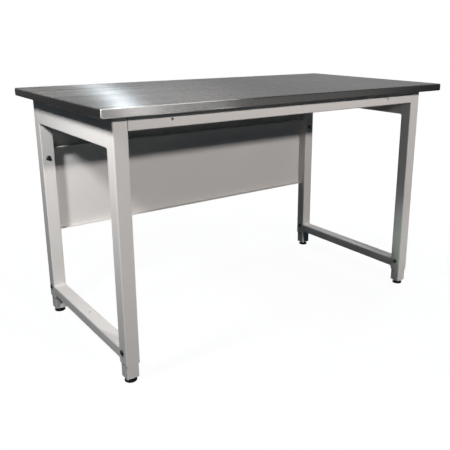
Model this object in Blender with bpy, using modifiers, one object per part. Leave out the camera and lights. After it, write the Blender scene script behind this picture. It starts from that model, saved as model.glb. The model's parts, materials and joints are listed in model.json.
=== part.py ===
"""Laboratory bench: a stainless clad worktop on a painted steel frame with telescopic legs and feet.

Metres, +Z up. The front faces -Y, and the origin is on the floor below the middle of the worktop.
"""
import math

import bmesh
import bpy
from mathutils import Matrix, Vector

# Clearances
SEAT_GAP = 0.0003           # between pieces that seat on, or butt against, one another
SHANK_GAP = 0.0003          # around a bolt, screw or stud, on the radius
INSERT_PLAY = 0.0005        # each side of a leg insert in its post

# Worktop
TOP_LENGTH = 1.524
TOP_DEPTH = 0.784
TOP_HEIGHT = 0.915
TOP_THICKNESS = 0.0286
SKIN_SHEET = 0.0012
SKIN_HEM = 0.022            # width of the fold under the edges
SKIN_EDGE_RADIUS = 0.003

# Where the frame stands under the worktop
END_OVERHANG = 0.059
FRONT_OVERHANG = 0.0625
REAR_OVERHANG = 0.014

# End frames
POST_SIZE = 0.050
POST_WALL = 0.0025
TUBE_CORNER_RADIUS = 0.0045
SIDE_TUBE_WALL = 0.002
UPPER_TUBE_HEIGHT = 0.104
LOWER_TUBE_HEIGHT = 0.038
LOWER_TUBE_RISE = 0.0125    # above the lower ends of the posts
LOWER_TUBE_HOLE = 0.008

# Front rail
RAIL_HEIGHT = 0.0508
RAIL_DEPTH = 0.0254
RAIL_WALL = 0.002
RAIL_HOLE = 0.008
RAIL_HOLE_INSET = 0.150     # from the inner faces of the posts

# Rear stringer and modesty panel
STRINGER_HEIGHT = 0.2045
STRINGER_DEPTH = 0.032
STRINGER_SHEET = 0.002
STRINGER_BOLT_INSET = 0.050  # from the upper and lower flanges
PANEL_SHEET = 0.0012
PANEL_SHOWN = 0.335         # height below the stringer
PANEL_LAP = 0.030           # height behind the stringer
PANEL_FLANGE = 0.025
PANEL_END_INSET = 0.004     # from the outer faces of the posts
PANEL_BOLT_DROP = 0.0336    # below the stringer

# Angle pieces
BRACKET_SHEET = 0.003
BRACKET_RAIL_LEG = 0.040
BRACKET_POST_LEG = 0.0235
BRACKET_HEIGHT = 0.036
CLEAT_LEG = 0.032
CLEAT_LENGTH = 0.050
CLEAT_SPREAD = 0.180        # from the middle of the side tube, each way

# Leg inserts
INSERT_WALL = 0.0025
INSERT_CORNER_RADIUS = 0.0035
INSERT_LENGTH = 0.300
INSERT_SHOWN = 0.0513       # below the post
INSERT_HOLE = 0.0085
INSERT_HOLE_PITCH = 0.0254
INSERT_HOLE_MARGIN = 0.020  # from the ends of the insert
PLATE_THICKNESS = 0.005

# Levelling feet
PAD_DIAMETER = 0.042
PAD_HEIGHT = 0.0092
PAD_RIM_HEIGHT = 0.0055
PAD_TOP_DIAMETER = 0.026
PAD_FLOOR = 0.004           # thickness below the stud
PAD_CHAMFER = 0.001
STUD_DIAMETER = 0.012
STUD_ABOVE_PLATE = 0.028
STUD_CHAMFER = 0.001
COLLAR_HEIGHT = 0.0064
COLLAR_ACROSS_CORNERS = 0.020

# Fasteners
BOLT_DIAMETER = 0.008
BOLT_FLANGE_DIAMETER = 0.018
BOLT_FLANGE_HEIGHT = 0.0016
BOLT_HEAD_ACROSS_CORNERS = 0.015
BOLT_HEAD_HEIGHT = 0.0055
BOLT_GRIP = 0.008           # thread past the last wall
BOLT_CHAMFER = 0.0008
NUT_HEIGHT = 0.0065
PANEL_BOLT_END = 0.001      # thread past the nut
LOCK_BOLT_RISE = 0.0425     # above the lower ends of the posts
DOMED_HEAD_DIAMETER = 0.019
DOMED_HEAD_HEIGHT = 0.0065
WOOD_SCREW_DIAMETER = 0.0045
WOOD_SCREW_LENGTH = 0.020
WOOD_SCREW_TIP = 0.004
WOOD_SCREW_HEAD_DIAMETER = 0.009
WOOD_SCREW_HEAD_HEIGHT = 0.0028
STRINGER_SCREW_INSET = 0.250  # from the ends of the stringer

# Faceting of round shapes
CORNER_SEGMENTS = 3
ROUND_SEGMENTS = 16
PAD_SEGMENTS = 24
HOLE_SEGMENTS = 12
HEXAGON = 6
DOME_STEPS = 4
OVERCUT = 0.002             # how far a cutter runs past the face it opens

# Places worked out from the sizes above
TOP_UNDERSIDE = TOP_HEIGHT - TOP_THICKNESS
FRAME_TOP = TOP_UNDERSIDE - SEAT_GAP
LEG_X = TOP_LENGTH / 2 - END_OVERHANG - POST_SIZE / 2
FRONT_LEG_Y = -TOP_DEPTH / 2 + FRONT_OVERHANG + POST_SIZE / 2
REAR_LEG_Y = TOP_DEPTH / 2 - REAR_OVERHANG - POST_SIZE / 2
INNER_FACE_X = LEG_X - POST_SIZE / 2
FRONT_FACE_Y = FRONT_LEG_Y - POST_SIZE / 2
REAR_FACE_Y = REAR_LEG_Y + POST_SIZE / 2
COLLAR_BOTTOM = PAD_HEIGHT + SEAT_GAP
INSERT_BOTTOM = COLLAR_BOTTOM + COLLAR_HEIGHT + SEAT_GAP
POST_BOTTOM = INSERT_BOTTOM + INSERT_SHOWN
LOCK_BOLT_Z = POST_BOTTOM + LOCK_BOLT_RISE
INSERT_SIZE = POST_SIZE - 2 * POST_WALL - 2 * INSERT_PLAY
RAIL_BACK_Y = FRONT_FACE_Y + RAIL_DEPTH
STRINGER_BOTTOM = FRAME_TOP - STRINGER_HEIGHT
STRINGER_LENGTH = 2 * (INNER_FACE_X - SEAT_GAP)
STRINGER_SCREW_Y = REAR_FACE_Y - STRINGER_DEPTH / 2
PANEL_FRONT_Y = REAR_FACE_Y + SEAT_GAP
PANEL_BACK_Y = PANEL_FRONT_Y + PANEL_SHEET
PANEL_BOLT_Z = STRINGER_BOTTOM - PANEL_BOLT_DROP
CLEAT_MIDDLE_X = INNER_FACE_X - SEAT_GAP - CLEAT_LEG / 2
SIDE_TUBE_MIDDLE_Y = (FRONT_LEG_Y + REAR_LEG_Y) / 2

SIDES = {"left": -1, "right": 1}
LEGS = {
    "front_left": (-LEG_X, FRONT_LEG_Y),
    "front_right": (LEG_X, FRONT_LEG_Y),
    "rear_left": (-LEG_X, REAR_LEG_Y),
    "rear_right": (LEG_X, REAR_LEG_Y),
}


# Scene, collections and materials

def clear_scene():
    for item in list(bpy.data.objects):
        bpy.data.objects.remove(item, do_unlink=True)


def make_collection(name):
    collection = bpy.data.collections.new(name)
    bpy.context.scene.collection.children.link(collection)
    return collection


def make_material(name, colour, roughness, metallic):
    material = bpy.data.materials.new(name)
    material.use_nodes = True
    shader = material.node_tree.nodes["Principled BSDF"]
    shader.inputs["Base Color"].default_value = (*colour, 1.0)
    shader.inputs["Roughness"].default_value = roughness
    shader.inputs["Metallic"].default_value = metallic
    return material


clear_scene()
PARTS = make_collection("lab_bench")
CUTTERS = make_collection("lab_bench_cutters")
STAINLESS = make_material("stainless_steel", (0.55, 0.55, 0.56), 0.30, 1.0)
BOARD = make_material("core_board", (0.55, 0.42, 0.28), 0.85, 0.0)
BACKER = make_material("backer_sheet", (0.30, 0.26, 0.22), 0.70, 0.0)
GREY_PAINT = make_material("grey_powder_coat", (0.66, 0.65, 0.63), 0.45, 0.0)
BLACK_STEEL = make_material("black_oxide_steel", (0.02, 0.02, 0.02), 0.45, 0.6)
ZINC = make_material("zinc_plated_steel", (0.60, 0.60, 0.58), 0.35, 1.0)
BLACK_PLASTIC = make_material("black_plastic", (0.02, 0.02, 0.02), 0.55, 0.0)


# Objects and meshes

def add_part(name, mesh, material, location=(0, 0, 0), rotation=(0, 0, 0), parent=None):
    part = bpy.data.objects.new(name, mesh)
    part.location = location
    part.rotation_euler = rotation
    part.parent = parent
    if not mesh.materials:
        mesh.materials.append(material)
    PARTS.objects.link(part)
    return part


def add_cutter(name, mesh, like=None):
    """Adds a helper solid in world space, or in the frame of the part that it is like."""
    cutter = bpy.data.objects.new(name, mesh)
    cutter.hide_render = True
    cutter.display_type = "WIRE"
    if like:
        cutter.location = like.location
        cutter.rotation_euler = like.rotation_euler
        cutter.parent = like.parent
    CUTTERS.objects.link(cutter)
    return cutter


def combine(part, cutter, operation):
    boolean = part.modifiers.new(operation.lower(), "BOOLEAN")
    boolean.operation = operation
    boolean.solver = "EXACT"
    boolean.object = cutter


def finish_mesh(name, shape):
    mesh = bpy.data.meshes.new(name)
    shape.to_mesh(mesh)
    shape.free()
    return mesh


def box_mesh(name, low, high):
    low, high = Vector(low), Vector(high)
    shape = bmesh.new()
    bmesh.ops.create_cube(shape, size=1.0)
    bmesh.ops.scale(shape, vec=high - low, verts=shape.verts)
    bmesh.ops.translate(shape, vec=(low + high) / 2, verts=shape.verts)
    return finish_mesh(name, shape)


def cylinders_mesh(name, shafts, diameter, segments):
    """Capped cylinders, each along a shaft given by its two ends."""
    shape = bmesh.new()
    for start, end in shafts:
        start, end = Vector(start), Vector(end)
        turn = (end - start).to_track_quat("Z", "Y").to_matrix().to_4x4()
        place = Matrix.Translation((start + end) / 2) @ turn
        bmesh.ops.create_cone(shape, cap_ends=True, segments=segments, radius1=diameter / 2,
                              radius2=diameter / 2, depth=(end - start).length, matrix=place)
    return finish_mesh(name, shape)


def drill(part, shafts, diameter):
    mesh = cylinders_mesh(part.name + "_holes", shafts, diameter, HOLE_SEGMENTS)
    combine(part, add_cutter(mesh.name, mesh), "DIFFERENCE")


def round_edges(part, radius):
    bevel = part.modifiers.new("rounded_edges", "BEVEL")
    bevel.width = radius
    bevel.segments = CORNER_SEGMENTS
    bevel.limit_method = "ANGLE"


def add_box(name, low, high, material):
    return add_part(name, box_mesh(name, low, high), material)


def cut_box(part, low, high, radius=0.0):
    cutter = add_cutter(part.name + "_cavity", box_mesh(part.name + "_cavity", low, high))
    if radius:
        round_edges(cutter, radius)
    combine(part, cutter, "DIFFERENCE")


def add_tube(name, width, height, length, wall, radius, material, location, rotation=(0, 0, 0), parent=None):
    """A rectangular tube along its local Z axis, centred on its location, with both ends open."""
    shape = bmesh.new()
    bmesh.ops.create_cube(shape, size=1.0)
    bmesh.ops.scale(shape, vec=(width, height, length), verts=shape.verts)
    ends = [face for face in shape.faces if abs(face.normal.z) > 0.5]
    bmesh.ops.delete(shape, geom=ends, context="FACES_ONLY")
    tube = add_part(name, finish_mesh(name, shape), material, location, rotation, parent)
    round_edges(tube, radius)
    shell = tube.modifiers.new("wall", "SOLIDIFY")
    shell.thickness = wall
    shell.offset = -1.0
    shell.use_even_offset = True
    return tube


def add_turned(name, profile, material, segments, location=(0, 0, 0), rotation=(0, 0, 0), parent=None):
    """A turned piece about its local Z axis, from (radius, height) points that run down its outer side."""
    shape = bmesh.new()
    points = [shape.verts.new((radius, 0.0, height)) for radius, height in profile]
    for first, second in zip(points, points[1:]):
        shape.edges.new((first, second))
    part = add_part(name, finish_mesh(name, shape), material, location, rotation, parent)
    screw = part.modifiers.new("turn", "SCREW")
    screw.steps = segments
    screw.render_steps = segments
    screw.use_merge_vertices = True
    screw.merge_threshold = 0.00001
    screw.use_smooth_shade = True
    return part


def facing(direction):
    """The rotation that points a piece's local Z axis along a direction."""
    return Vector(direction).to_track_quat("Z", "Y").to_euler()


def add_hexagon(part, low, high, across_corners):
    mesh = cylinders_mesh(part.name + "_hexagon", [((0, 0, low), (0, 0, high))], across_corners, HEXAGON)
    combine(part, add_cutter(mesh.name, mesh, like=part), "UNION")


# Fasteners

def add_flange_bolt(name, seat, direction, shank, material):
    """A hexagon flange bolt: its flange sits at the seat, and its shank runs along the direction."""
    radius = BOLT_DIAMETER / 2
    profile = [
        (0, shank), (radius - BOLT_CHAMFER, shank), (radius, shank - BOLT_CHAMFER), (radius, 0),
        (BOLT_FLANGE_DIAMETER / 2, 0), (BOLT_FLANGE_DIAMETER / 2, -BOLT_FLANGE_HEIGHT / 2),
        (BOLT_HEAD_ACROSS_CORNERS / 2, -BOLT_FLANGE_HEIGHT), (0, -BOLT_FLANGE_HEIGHT),
    ]
    bolt = add_turned(name, profile, material, ROUND_SEGMENTS, seat, facing(direction))
    head_end = -BOLT_FLANGE_HEIGHT - BOLT_HEAD_HEIGHT
    add_hexagon(bolt, head_end, -BOLT_FLANGE_HEIGHT / 2, BOLT_HEAD_ACROSS_CORNERS)
    return bolt


def add_domed_bolt(name, seat, direction, shank):
    """A low domed bolt: its head sits at the seat, and its shank runs along the direction."""
    dome = []
    for step in range(1, DOME_STEPS):
        angle = math.pi / 2 * step / DOME_STEPS
        dome.append((DOMED_HEAD_DIAMETER / 2 * math.cos(angle), -DOMED_HEAD_HEIGHT * math.sin(angle)))
    profile = [(0, shank), (BOLT_DIAMETER / 2, shank), (BOLT_DIAMETER / 2, 0), (DOMED_HEAD_DIAMETER / 2, 0)]
    profile = profile + dome + [(0, -DOMED_HEAD_HEIGHT)]
    add_turned(name, profile, BLACK_STEEL, ROUND_SEGMENTS, seat, facing(direction))


def add_wood_screw(name, seat):
    """A pan head screw that points up."""
    radius, head = WOOD_SCREW_DIAMETER / 2, WOOD_SCREW_HEAD_DIAMETER / 2
    profile = [
        (0, WOOD_SCREW_LENGTH), (radius, WOOD_SCREW_LENGTH - WOOD_SCREW_TIP), (radius, 0), (head, 0),
        (head, -WOOD_SCREW_HEAD_HEIGHT / 2), (head / 2, -WOOD_SCREW_HEAD_HEIGHT),
        (0, -WOOD_SCREW_HEAD_HEIGHT),
    ]
    add_turned(name, profile, ZINC, HOLE_SEGMENTS, seat)


# Worktop

def top_screw_places():
    """Where each wood screw enters the worktop from below, by name."""
    places = {}
    for side, sign in SIDES.items():
        for end, way in (("front", -1), ("rear", 1)):
            y = SIDE_TUBE_MIDDLE_Y + way * CLEAT_SPREAD
            places[f"cleat_{end}_{side}"] = (sign * CLEAT_MIDDLE_X, y)
        places[f"stringer_{side}"] = (sign * (INNER_FACE_X - STRINGER_SCREW_INSET), STRINGER_SCREW_Y)
    return places


def build_worktop():
    half_x, half_y = TOP_LENGTH / 2, TOP_DEPTH / 2
    inner_radius = max(SKIN_EDGE_RADIUS - SKIN_SHEET, SEAT_GAP)
    skin = add_box("worktop_skin", (-half_x, -half_y, TOP_UNDERSIDE), (half_x, half_y, TOP_HEIGHT), STAINLESS)
    round_edges(skin, SKIN_EDGE_RADIUS)
    inside_x, inside_y = half_x - SKIN_SHEET, half_y - SKIN_SHEET
    floor, ceiling = TOP_UNDERSIDE + SKIN_SHEET, TOP_HEIGHT - SKIN_SHEET
    cut_box(skin, (-inside_x, -inside_y, floor), (inside_x, inside_y, ceiling), inner_radius)
    open_x, open_y = half_x - SKIN_HEM, half_y - SKIN_HEM
    cut_box(skin, (-open_x, -open_y, TOP_UNDERSIDE - OVERCUT), (open_x, open_y, floor + inner_radius))

    core_x, core_y = inside_x - SEAT_GAP, inside_y - SEAT_GAP
    core = add_box("worktop_core", (-core_x, -core_y, floor + SEAT_GAP),
                   (core_x, core_y, ceiling - SEAT_GAP), BOARD)
    round_edges(core, inner_radius)
    backer_x, backer_y = open_x - SEAT_GAP, open_y - SEAT_GAP
    backer = add_box("worktop_backer", (-backer_x, -backer_y, TOP_UNDERSIDE),
                     (backer_x, backer_y, floor), BACKER)
    hole = WOOD_SCREW_DIAMETER + 2 * SHANK_GAP
    shafts = [((x, y, TOP_UNDERSIDE - OVERCUT), (x, y, TOP_UNDERSIDE + WOOD_SCREW_LENGTH))
              for x, y in top_screw_places().values()]
    drill(core, shafts, hole)
    drill(backer, shafts, hole)


# End frames

def build_end_frames():
    post_length = FRAME_TOP - POST_BOTTOM
    for leg, (x, y) in LEGS.items():
        post = add_tube(f"post_{leg}", POST_SIZE, POST_SIZE, post_length, POST_WALL, TUBE_CORNER_RADIUS,
                        GREY_PAINT, (x, y, (FRAME_TOP + POST_BOTTOM) / 2))
        outside = x - POST_SIZE / 2
        shaft = ((outside - OVERCUT, y, LOCK_BOLT_Z), (outside + POST_WALL + OVERCUT, y, LOCK_BOLT_Z))
        drill(post, [shaft], BOLT_DIAMETER + 2 * SHANK_GAP)
        frame_bolts = post_bolt_places(leg)
        drill(post, [(seat, (x, seat[1], seat[2])) for seat in frame_bolts], BOLT_DIAMETER + 2 * SHANK_GAP)
        if y == REAR_LEG_Y:
            shaft = ((x, y - POST_SIZE, PANEL_BOLT_Z), (x, y + POST_SIZE, PANEL_BOLT_Z))
            drill(post, [shaft], BOLT_DIAMETER + 2 * SHANK_GAP)

    tube_length = REAR_LEG_Y - FRONT_LEG_Y - POST_SIZE - 2 * SEAT_GAP
    across = (math.pi / 2, 0, 0)
    lower_middle = POST_BOTTOM + LOWER_TUBE_RISE + LOWER_TUBE_HEIGHT / 2
    for side, sign in SIDES.items():
        x = sign * LEG_X
        add_tube(f"upper_side_tube_{side}", POST_SIZE, UPPER_TUBE_HEIGHT, tube_length, SIDE_TUBE_WALL,
                 TUBE_CORNER_RADIUS, GREY_PAINT,
                 (x, SIDE_TUBE_MIDDLE_Y, FRAME_TOP - UPPER_TUBE_HEIGHT / 2), across)
        lower = add_tube(f"lower_side_tube_{side}", POST_SIZE, LOWER_TUBE_HEIGHT, tube_length, SIDE_TUBE_WALL,
                         TUBE_CORNER_RADIUS, GREY_PAINT, (x, SIDE_TUBE_MIDDLE_Y, lower_middle), across)
        top = lower_middle + LOWER_TUBE_HEIGHT / 2
        shaft = ((x, SIDE_TUBE_MIDDLE_Y, lower_middle), (x, SIDE_TUBE_MIDDLE_Y, top + OVERCUT))
        drill(lower, [shaft], LOWER_TUBE_HOLE)


def post_bolt_places(leg):
    """Where bolts seat beside a post's inner face: two in the stringer, or one in the rail bracket."""
    sign = SIDES[leg.split("_")[1]]
    if leg.startswith("rear"):
        seat_x = sign * (INNER_FACE_X - 2 * SEAT_GAP - STRINGER_SHEET)
        low, high = STRINGER_BOTTOM + STRINGER_BOLT_INSET, FRAME_TOP - STRINGER_BOLT_INSET
        return [(seat_x, STRINGER_SCREW_Y, low), (seat_x, STRINGER_SCREW_Y, high)]
    seat_x = sign * (INNER_FACE_X - 2 * SEAT_GAP - BRACKET_SHEET)
    y = RAIL_BACK_Y + SEAT_GAP + (BRACKET_SHEET + BRACKET_POST_LEG) / 2
    return [(seat_x, y, FRAME_TOP - RAIL_HEIGHT / 2)]


# Front rail, with a bracket behind each end

def build_front_rail():
    middle_z = FRAME_TOP - RAIL_HEIGHT / 2
    length = 2 * (INNER_FACE_X - SEAT_GAP)
    rail = add_tube("front_rail", RAIL_HEIGHT, RAIL_DEPTH, length, RAIL_WALL, TUBE_CORNER_RADIUS, GREY_PAINT,
                    (0, FRONT_FACE_Y + RAIL_DEPTH / 2, middle_z), (0, math.pi / 2, 0))
    inside_y = FRONT_FACE_Y + RAIL_DEPTH / 2
    hole_x = INNER_FACE_X - RAIL_HOLE_INSET
    drill(rail, [((x, FRONT_FACE_Y - OVERCUT, middle_z), (x, inside_y, middle_z)) for x in (-hole_x, hole_x)],
          RAIL_HOLE)

    bolt_hole = BOLT_DIAMETER + 2 * SHANK_GAP
    bolt_x = INNER_FACE_X - SEAT_GAP - (BRACKET_SHEET + BRACKET_RAIL_LEG) / 2
    leg_y = RAIL_BACK_Y + SEAT_GAP
    seat_y = leg_y + BRACKET_SHEET + SEAT_GAP
    drill(rail, [((sign * bolt_x, inside_y, middle_z), (sign * bolt_x, seat_y, middle_z))
                 for sign in SIDES.values()], bolt_hole)
    for side, sign in SIDES.items():
        wall_x = sign * (INNER_FACE_X - SEAT_GAP)
        far_x = wall_x - sign * BRACKET_RAIL_LEG
        low_z, high_z = middle_z - BRACKET_HEIGHT / 2, middle_z + BRACKET_HEIGHT / 2
        bracket = add_box(f"rail_bracket_{side}", (min(wall_x, far_x), leg_y, low_z),
                          (max(wall_x, far_x), leg_y + BRACKET_POST_LEG, high_z), GREY_PAINT)
        notch_x = wall_x - sign * BRACKET_SHEET
        past_x = far_x - sign * OVERCUT
        cut_box(bracket, (min(notch_x, past_x), leg_y + BRACKET_SHEET, low_z - OVERCUT),
                (max(notch_x, past_x), leg_y + BRACKET_POST_LEG + OVERCUT, high_z + OVERCUT))
        post_seat = post_bolt_places(f"front_{side}")[0]
        rail_seat = (sign * bolt_x, seat_y, middle_z)
        drill(bracket, [(post_seat, (wall_x + sign * OVERCUT, post_seat[1], middle_z)),
                        (rail_seat, (sign * bolt_x, leg_y - OVERCUT, middle_z))], bolt_hole)
        add_flange_bolt(f"rail_bolt_post_{side}", post_seat, (sign, 0, 0),
                        BRACKET_SHEET + POST_WALL + BOLT_GRIP, ZINC)
        add_flange_bolt(f"rail_bolt_rail_{side}", rail_seat, (0, -1, 0),
                        BRACKET_SHEET + RAIL_WALL + BOLT_GRIP, ZINC)


# Rear stringer: a pan of sheet, open to the front, whose lower flange is a ledge

def build_stringer():
    half = STRINGER_LENGTH / 2
    front_y = REAR_FACE_Y - STRINGER_DEPTH
    stringer = add_box("rear_stringer", (-half, front_y, STRINGER_BOTTOM), (half, REAR_FACE_Y, FRAME_TOP),
                       GREY_PAINT)
    inside = half - STRINGER_SHEET
    cut_box(stringer, (-inside, front_y - OVERCUT, STRINGER_BOTTOM + STRINGER_SHEET),
            (inside, REAR_FACE_Y - STRINGER_SHEET, FRAME_TOP - STRINGER_SHEET))
    bolt_hole = BOLT_DIAMETER + 2 * SHANK_GAP
    for side, sign in SIDES.items():
        seats = post_bolt_places(f"rear_{side}")
        drill(stringer, [(seat, (sign * (half + OVERCUT), seat[1], seat[2])) for seat in seats], bolt_hole)
        for level, seat in zip(("lower", "upper"), seats):
            add_flange_bolt(f"stringer_bolt_{level}_{side}", seat, (sign, 0, 0),
                            STRINGER_SHEET + POST_WALL + BOLT_GRIP, ZINC)
    screw_x = INNER_FACE_X - STRINGER_SCREW_INSET
    low, high = FRAME_TOP - STRINGER_SHEET - OVERCUT, FRAME_TOP + OVERCUT
    drill(stringer, [((x, STRINGER_SCREW_Y, low), (x, STRINGER_SCREW_Y, high)) for x in (-screw_x, screw_x)],
          WOOD_SCREW_DIAMETER + 2 * SHANK_GAP)


# Modesty panel, bolted through the rear posts

def build_panel():
    bottom, top = STRINGER_BOTTOM - PANEL_SHOWN, STRINGER_BOTTOM + PANEL_LAP
    half = LEG_X + POST_SIZE / 2 - PANEL_END_INSET
    panel = add_box("modesty_panel", (-half, PANEL_FRONT_Y, bottom), (half, PANEL_BACK_Y, top), GREY_PAINT)
    flange_half = INNER_FACE_X - SEAT_GAP
    flange = box_mesh("modesty_panel_flange", (-flange_half, PANEL_BACK_Y - PANEL_FLANGE, bottom),
                      (flange_half, PANEL_FRONT_Y + PANEL_SHEET / 2, bottom + PANEL_SHEET))
    combine(panel, add_cutter(flange.name, flange), "UNION")
    drill(panel, [((x, PANEL_FRONT_Y - OVERCUT, PANEL_BOLT_Z), (x, PANEL_BACK_Y + OVERCUT, PANEL_BOLT_Z))
                  for x in (-LEG_X, LEG_X)], BOLT_DIAMETER + 2 * SHANK_GAP)
    nut_start = PANEL_BACK_Y + SEAT_GAP
    seat_y = REAR_FACE_Y - POST_SIZE - SEAT_GAP
    for side, sign in SIDES.items():
        x = sign * LEG_X
        shank = nut_start + NUT_HEIGHT + PANEL_BOLT_END - seat_y
        add_domed_bolt(f"panel_bolt_{side}", (x, seat_y, PANEL_BOLT_Z), (0, 1, 0), shank)
        shaft = ((x, nut_start, PANEL_BOLT_Z), (x, nut_start + NUT_HEIGHT, PANEL_BOLT_Z))
        nut_mesh = cylinders_mesh(f"panel_nut_{side}", [shaft], BOLT_HEAD_ACROSS_CORNERS, HEXAGON)
        nut = add_part(nut_mesh.name, nut_mesh, BLACK_STEEL)
        bore = ((x, nut_start - OVERCUT, PANEL_BOLT_Z), (x, nut_start + NUT_HEIGHT + OVERCUT, PANEL_BOLT_Z))
        drill(nut, [bore], BOLT_DIAMETER + 2 * SHANK_GAP)


# Cleats and wood screws that hold the worktop down

def build_cleats():
    for side, sign in SIDES.items():
        wall_x = sign * (INNER_FACE_X - SEAT_GAP)
        far_x = wall_x - sign * CLEAT_LEG
        notch_x = wall_x - sign * BRACKET_SHEET
        past_x = far_x - sign * OVERCUT
        low_z, ceiling = FRAME_TOP - CLEAT_LEG, FRAME_TOP - BRACKET_SHEET
        for end, way in (("front", -1), ("rear", 1)):
            middle_y = SIDE_TUBE_MIDDLE_Y + way * CLEAT_SPREAD
            low_y, high_y = middle_y - CLEAT_LENGTH / 2, middle_y + CLEAT_LENGTH / 2
            cleat = add_box(f"top_cleat_{end}_{side}", (min(wall_x, far_x), low_y, low_z),
                            (max(wall_x, far_x), high_y, FRAME_TOP), GREY_PAINT)
            cut_box(cleat, (min(notch_x, past_x), low_y - OVERCUT, low_z - OVERCUT),
                    (max(notch_x, past_x), high_y + OVERCUT, ceiling))
            x = sign * CLEAT_MIDDLE_X
            drill(cleat, [((x, middle_y, ceiling - OVERCUT), (x, middle_y, FRAME_TOP + OVERCUT))],
                  WOOD_SCREW_DIAMETER + 2 * SHANK_GAP)
    for name, (x, y) in top_screw_places().items():
        sheet = STRINGER_SHEET if name.startswith("stringer") else BRACKET_SHEET
        add_wood_screw(f"top_screw_{name}", (x, y, FRAME_TOP - sheet - SEAT_GAP))


# Telescopic legs: inserts with height holes, lock bolts, threaded plates and feet

def insert_hole_heights():
    """Heights of the insert's holes: the lock bolt's own, and those a whole number of pitches from it."""
    lowest = INSERT_BOTTOM + INSERT_HOLE_MARGIN
    highest = INSERT_BOTTOM + INSERT_LENGTH - INSERT_HOLE_MARGIN
    first = math.ceil((lowest - LOCK_BOLT_Z) / INSERT_HOLE_PITCH)
    last = math.floor((highest - LOCK_BOLT_Z) / INSERT_HOLE_PITCH)
    return [LOCK_BOLT_Z + step * INSERT_HOLE_PITCH for step in range(first, last + 1)]


def build_leg(leg, x, y):
    axis = bpy.data.objects.new(f"leg_axis_{leg}", None)
    axis.location = (x, y, 0)
    PARTS.objects.link(axis)

    insert_middle = (0, 0, INSERT_BOTTOM + INSERT_LENGTH / 2)
    insert = add_tube(f"leg_insert_{leg}", INSERT_SIZE, INSERT_SIZE, INSERT_LENGTH, INSERT_WALL,
                      INSERT_CORNER_RADIUS, GREY_PAINT, insert_middle, parent=axis)
    outside = x - INSERT_SIZE / 2
    drill(insert, [((outside - OVERCUT, y, z), (outside + INSERT_WALL + OVERCUT, y, z))
                   for z in insert_hole_heights()], INSERT_HOLE)

    half = INSERT_SIZE / 2 - INSERT_WALL - SEAT_GAP
    plate_mesh = box_mesh(f"foot_plate_{leg}", (-half, -half, 0), (half, half, PLATE_THICKNESS))
    plate = add_part(plate_mesh.name, plate_mesh, ZINC, (0, 0, INSERT_BOTTOM), parent=axis)
    trim_corners(plate)
    drill(plate, [((x, y, INSERT_BOTTOM - OVERCUT), (x, y, INSERT_BOTTOM + PLATE_THICKNESS + OVERCUT))],
          STUD_DIAMETER + 2 * SHANK_GAP)

    seat_x = x - POST_SIZE / 2 - SEAT_GAP
    add_domed_bolt(f"lock_bolt_{leg}", (seat_x, y, LOCK_BOLT_Z), (1, 0, 0), POST_WALL + INSERT_PLAY)
    build_foot(leg, axis)


def trim_corners(plate):
    """Rounds only the upright edges of a plate, to clear the rounded inside of its tube."""
    shape = bmesh.new()
    shape.from_mesh(plate.data)
    upright = [edge for edge in shape.edges
               if abs(edge.verts[0].co.z - edge.verts[1].co.z) > PLATE_THICKNESS / 2]
    bmesh.ops.bevel(shape, geom=upright, offset=INSERT_CORNER_RADIUS, segments=CORNER_SEGMENTS, profile=0.5,
                    affect="EDGES")
    shape.to_mesh(plate.data)
    shape.free()


def build_foot(leg, axis):
    radius = STUD_DIAMETER / 2
    low = PAD_FLOOR + SEAT_GAP
    high = INSERT_BOTTOM + PLATE_THICKNESS + STUD_ABOVE_PLATE
    stud = add_turned(f"foot_stud_{leg}", [
        (0, high), (radius - STUD_CHAMFER, high), (radius, high - STUD_CHAMFER), (radius, low), (0, low),
    ], ZINC, ROUND_SEGMENTS, parent=axis)
    add_hexagon(stud, COLLAR_BOTTOM, COLLAR_BOTTOM + COLLAR_HEIGHT, COLLAR_ACROSS_CORNERS)

    socket, rim = radius + SHANK_GAP, PAD_DIAMETER / 2
    add_turned(f"foot_pad_{leg}", [
        (0, PAD_FLOOR), (socket, PAD_FLOOR), (socket, PAD_HEIGHT), (PAD_TOP_DIAMETER / 2, PAD_HEIGHT),
        (rim, PAD_RIM_HEIGHT), (rim, PAD_CHAMFER), (rim - PAD_CHAMFER, 0), (0, 0),
    ], BLACK_PLASTIC, PAD_SEGMENTS, parent=axis)


build_worktop()
build_end_frames()
build_front_rail()
build_stringer()
build_panel()
build_cleats()
for leg_name, (leg_x, leg_y) in LEGS.items():
    build_leg(leg_name, leg_x, leg_y)
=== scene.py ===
# %% [markdown]
# # A laboratory bench and its finishes
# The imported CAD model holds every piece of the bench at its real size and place, in metres, with +Z up.
# This lesson dresses it. Each piece gets a procedural finish, and the pieces whose solids are too coarse
# for a close look are made again with rounder corners, folds, welds and threads. Nothing in the CAD model
# is moved or resized.

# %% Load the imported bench
import json
import math

import bmesh
import bpy
from mathutils import Matrix, Vector


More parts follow.
